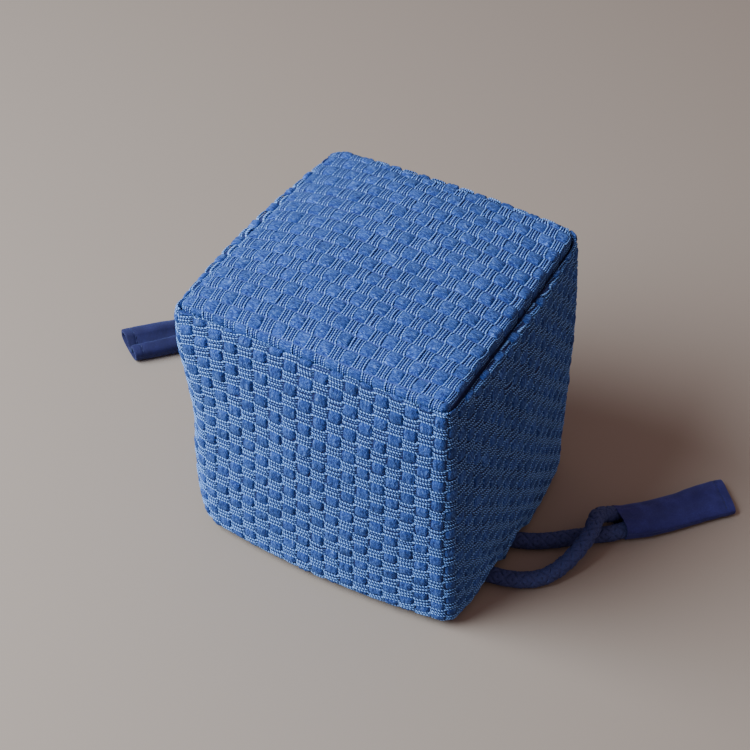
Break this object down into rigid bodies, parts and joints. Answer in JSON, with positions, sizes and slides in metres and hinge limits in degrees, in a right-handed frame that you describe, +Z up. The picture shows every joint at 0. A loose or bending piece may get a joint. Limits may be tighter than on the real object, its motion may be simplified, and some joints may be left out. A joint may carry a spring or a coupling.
{
  "type": "teaware storage bag",
  "caption": "Padded cube-shaped drawstring bag of woven blue cloth, standing on its drawn mouth, with braided cords that end in flared cloth tabs.",
  "frame": {"origin": "centre of the bag body's bounding box, on the surface it stands on", "axes": "+Z up, through the square base panel that lies on top; +X towards the right wall, where one drawstring leaves; -Y is the front wall"},
  "size_m": [0.2226, 0.1088, 0.0976],
  "materials": {
    "woven_cloth": "checkered basket weave, soft blue tufts between twisted white and navy yarns",
    "tab_cloth": "plain indigo cloth with a soft sheen",
    "braided_cord": "matt navy round braid"
  },
  "bodies": {
    "root": {"base_panel": "woven_cloth", "side_band": "woven_cloth", "mouth_hem": "woven_cloth", "cord_right_back": "braided_cord", "cord_right_front": "braided_cord", "cord_left_back": "braided_cord", "cord_left_front": "braided_cord", "tab_right": "tab_cloth", "tab_left": "tab_cloth"}
  },
  "joints": []
}
